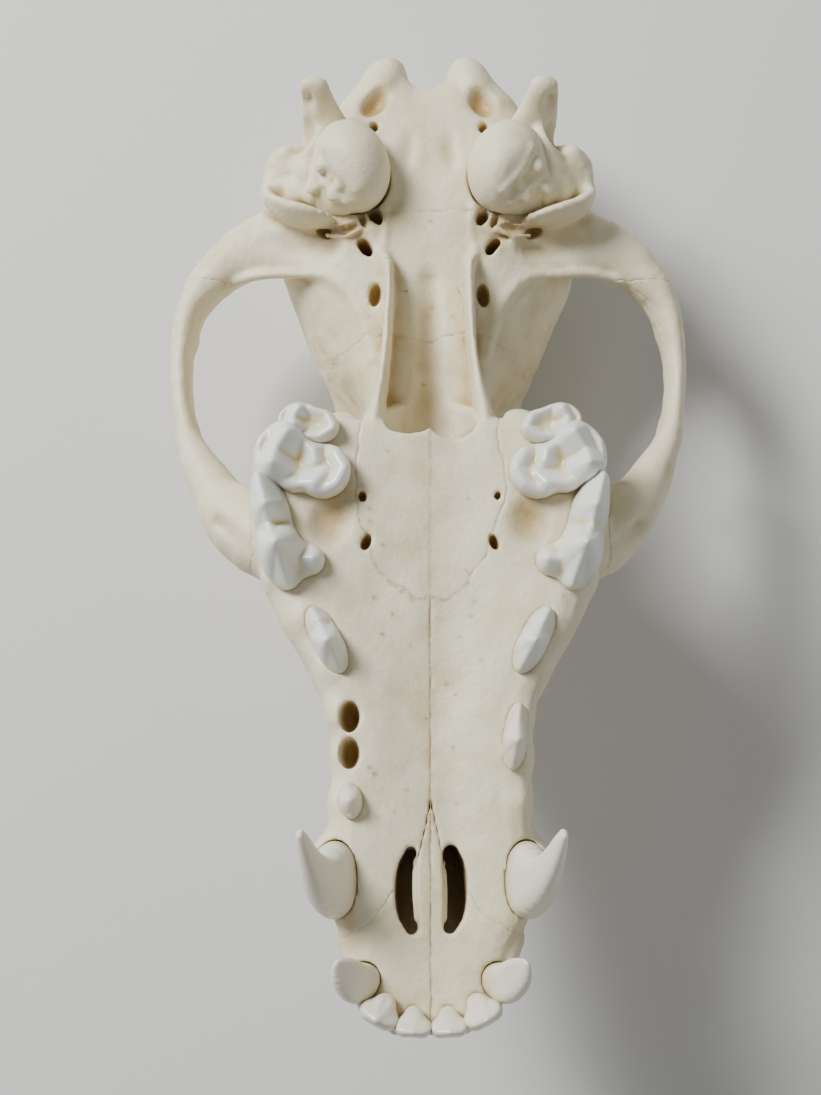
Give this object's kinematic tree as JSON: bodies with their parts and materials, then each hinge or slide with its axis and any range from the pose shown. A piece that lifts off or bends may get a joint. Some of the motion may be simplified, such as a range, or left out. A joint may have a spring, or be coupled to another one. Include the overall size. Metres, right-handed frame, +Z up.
{
  "type": "coyote skull",
  "caption": "Cleaned cranium of a coyote without its lower jaw, lying on its crown with the palate and upper teeth facing up.",
  "frame": {"origin": "centre of the bounding box in plan, on the ground that the skull lies on", "axes": "+Z up, towards the palate; +Y from the snout to the back of the skull; +X towards the animal's right side"},
  "size_m": [0.0979, 0.18, 0.0804],
  "materials": {
    "bone": "matte ivory bone with smoother, whiter teeth"
  },
  "bodies": {
    "root": {"premaxilla_left": "bone", "premaxilla_right": "bone", "maxilla_left": "bone", "maxilla_right": "bone", "nasal_bones": "bone", "frontal": "bone", "palatine_pterygoid": "bone", "braincase": "bone", "occipital": "bone", "zygomatic_arch_left": "bone", "zygomatic_arch_right": "bone", "auditory_bulla_left": "bone", "auditory_bulla_right": "bone"}
  },
  "joints": []
}
